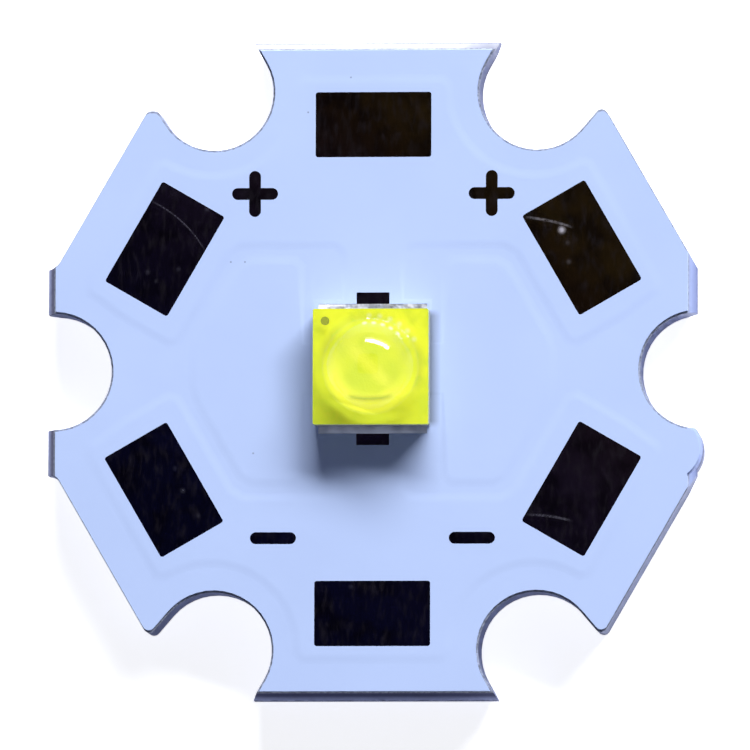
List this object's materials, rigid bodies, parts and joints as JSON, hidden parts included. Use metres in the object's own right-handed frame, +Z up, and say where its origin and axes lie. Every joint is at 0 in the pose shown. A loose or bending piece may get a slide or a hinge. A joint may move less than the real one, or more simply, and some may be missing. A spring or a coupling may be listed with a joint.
{
  "type": "star pcb power led",
  "caption": "High-power white LED with a clear dome, soldered at the centre of a star-shaped white aluminium-core board with screw notches and tinned wire pads.",
  "frame": {"origin": "on the board's underside, midway between its four scored sides", "axes": "+Z up out of the LED's dome, +Y towards the side with the plus signs, +X right"},
  "size_m": [0.0199, 0.02, 0.0038],
  "materials": {
    "base_aluminium": "milled sheet, scored and routed edges",
    "dielectric_epoxy": "ceramic filled epoxy film",
    "copper_foil": "etched foil",
    "white_mask": "white solder mask, satin",
    "tin_finish": "levelled tin, dark oxide sheen",
    "solder_alloy": "reflowed solder",
    "package_plating": "plated pad",
    "alumina_ceramic": "fired, fine grain",
    "trace_gold": "plated trace",
    "nitride_die": "polished chip",
    "silicon_diode": "polished chip",
    "yellow_phosphor": "phosphor in silicone",
    "clear_silicone": "moulded clear silicone",
    "dot_ink": "printed ink"
  },
  "bodies": {
    "root": {"base_plate": "base_aluminium", "dielectric_layer": "dielectric_epoxy", "copper_positive": "copper_foil", "copper_negative": "copper_foil", "copper_thermal": "copper_foil", "solder_mask": "white_mask", "wire_pad_upper_right": "tin_finish", "wire_pad_top": "tin_finish", "wire_pad_upper_left": "tin_finish", "wire_pad_lower_left": "tin_finish", "wire_pad_bottom": "tin_finish", "wire_pad_lower_right": "tin_finish", "plus_mark_left": "tin_finish", "plus_mark_right": "tin_finish", "minus_mark_left": "tin_finish", "minus_mark_right": "tin_finish", "test_pad_anode": "tin_finish", "test_pad_cathode": "tin_finish", "solder_anode": "solder_alloy", "solder_cathode": "solder_alloy", "solder_thermal": "solder_alloy", "led_anode_pad": "package_plating", "led_cathode_pad": "package_plating", "led_thermal_pad": "package_plating", "ceramic_substrate": "alumina_ceramic", "anode_trace": "trace_gold", "cathode_trace": "trace_gold", "led_die": "nitride_die", "protection_diode": "silicon_diode", "phosphor_layer": "yellow_phosphor", "silicone_lens": "clear_silicone", "polarity_dot": "dot_ink"}
  },
  "joints": []
}
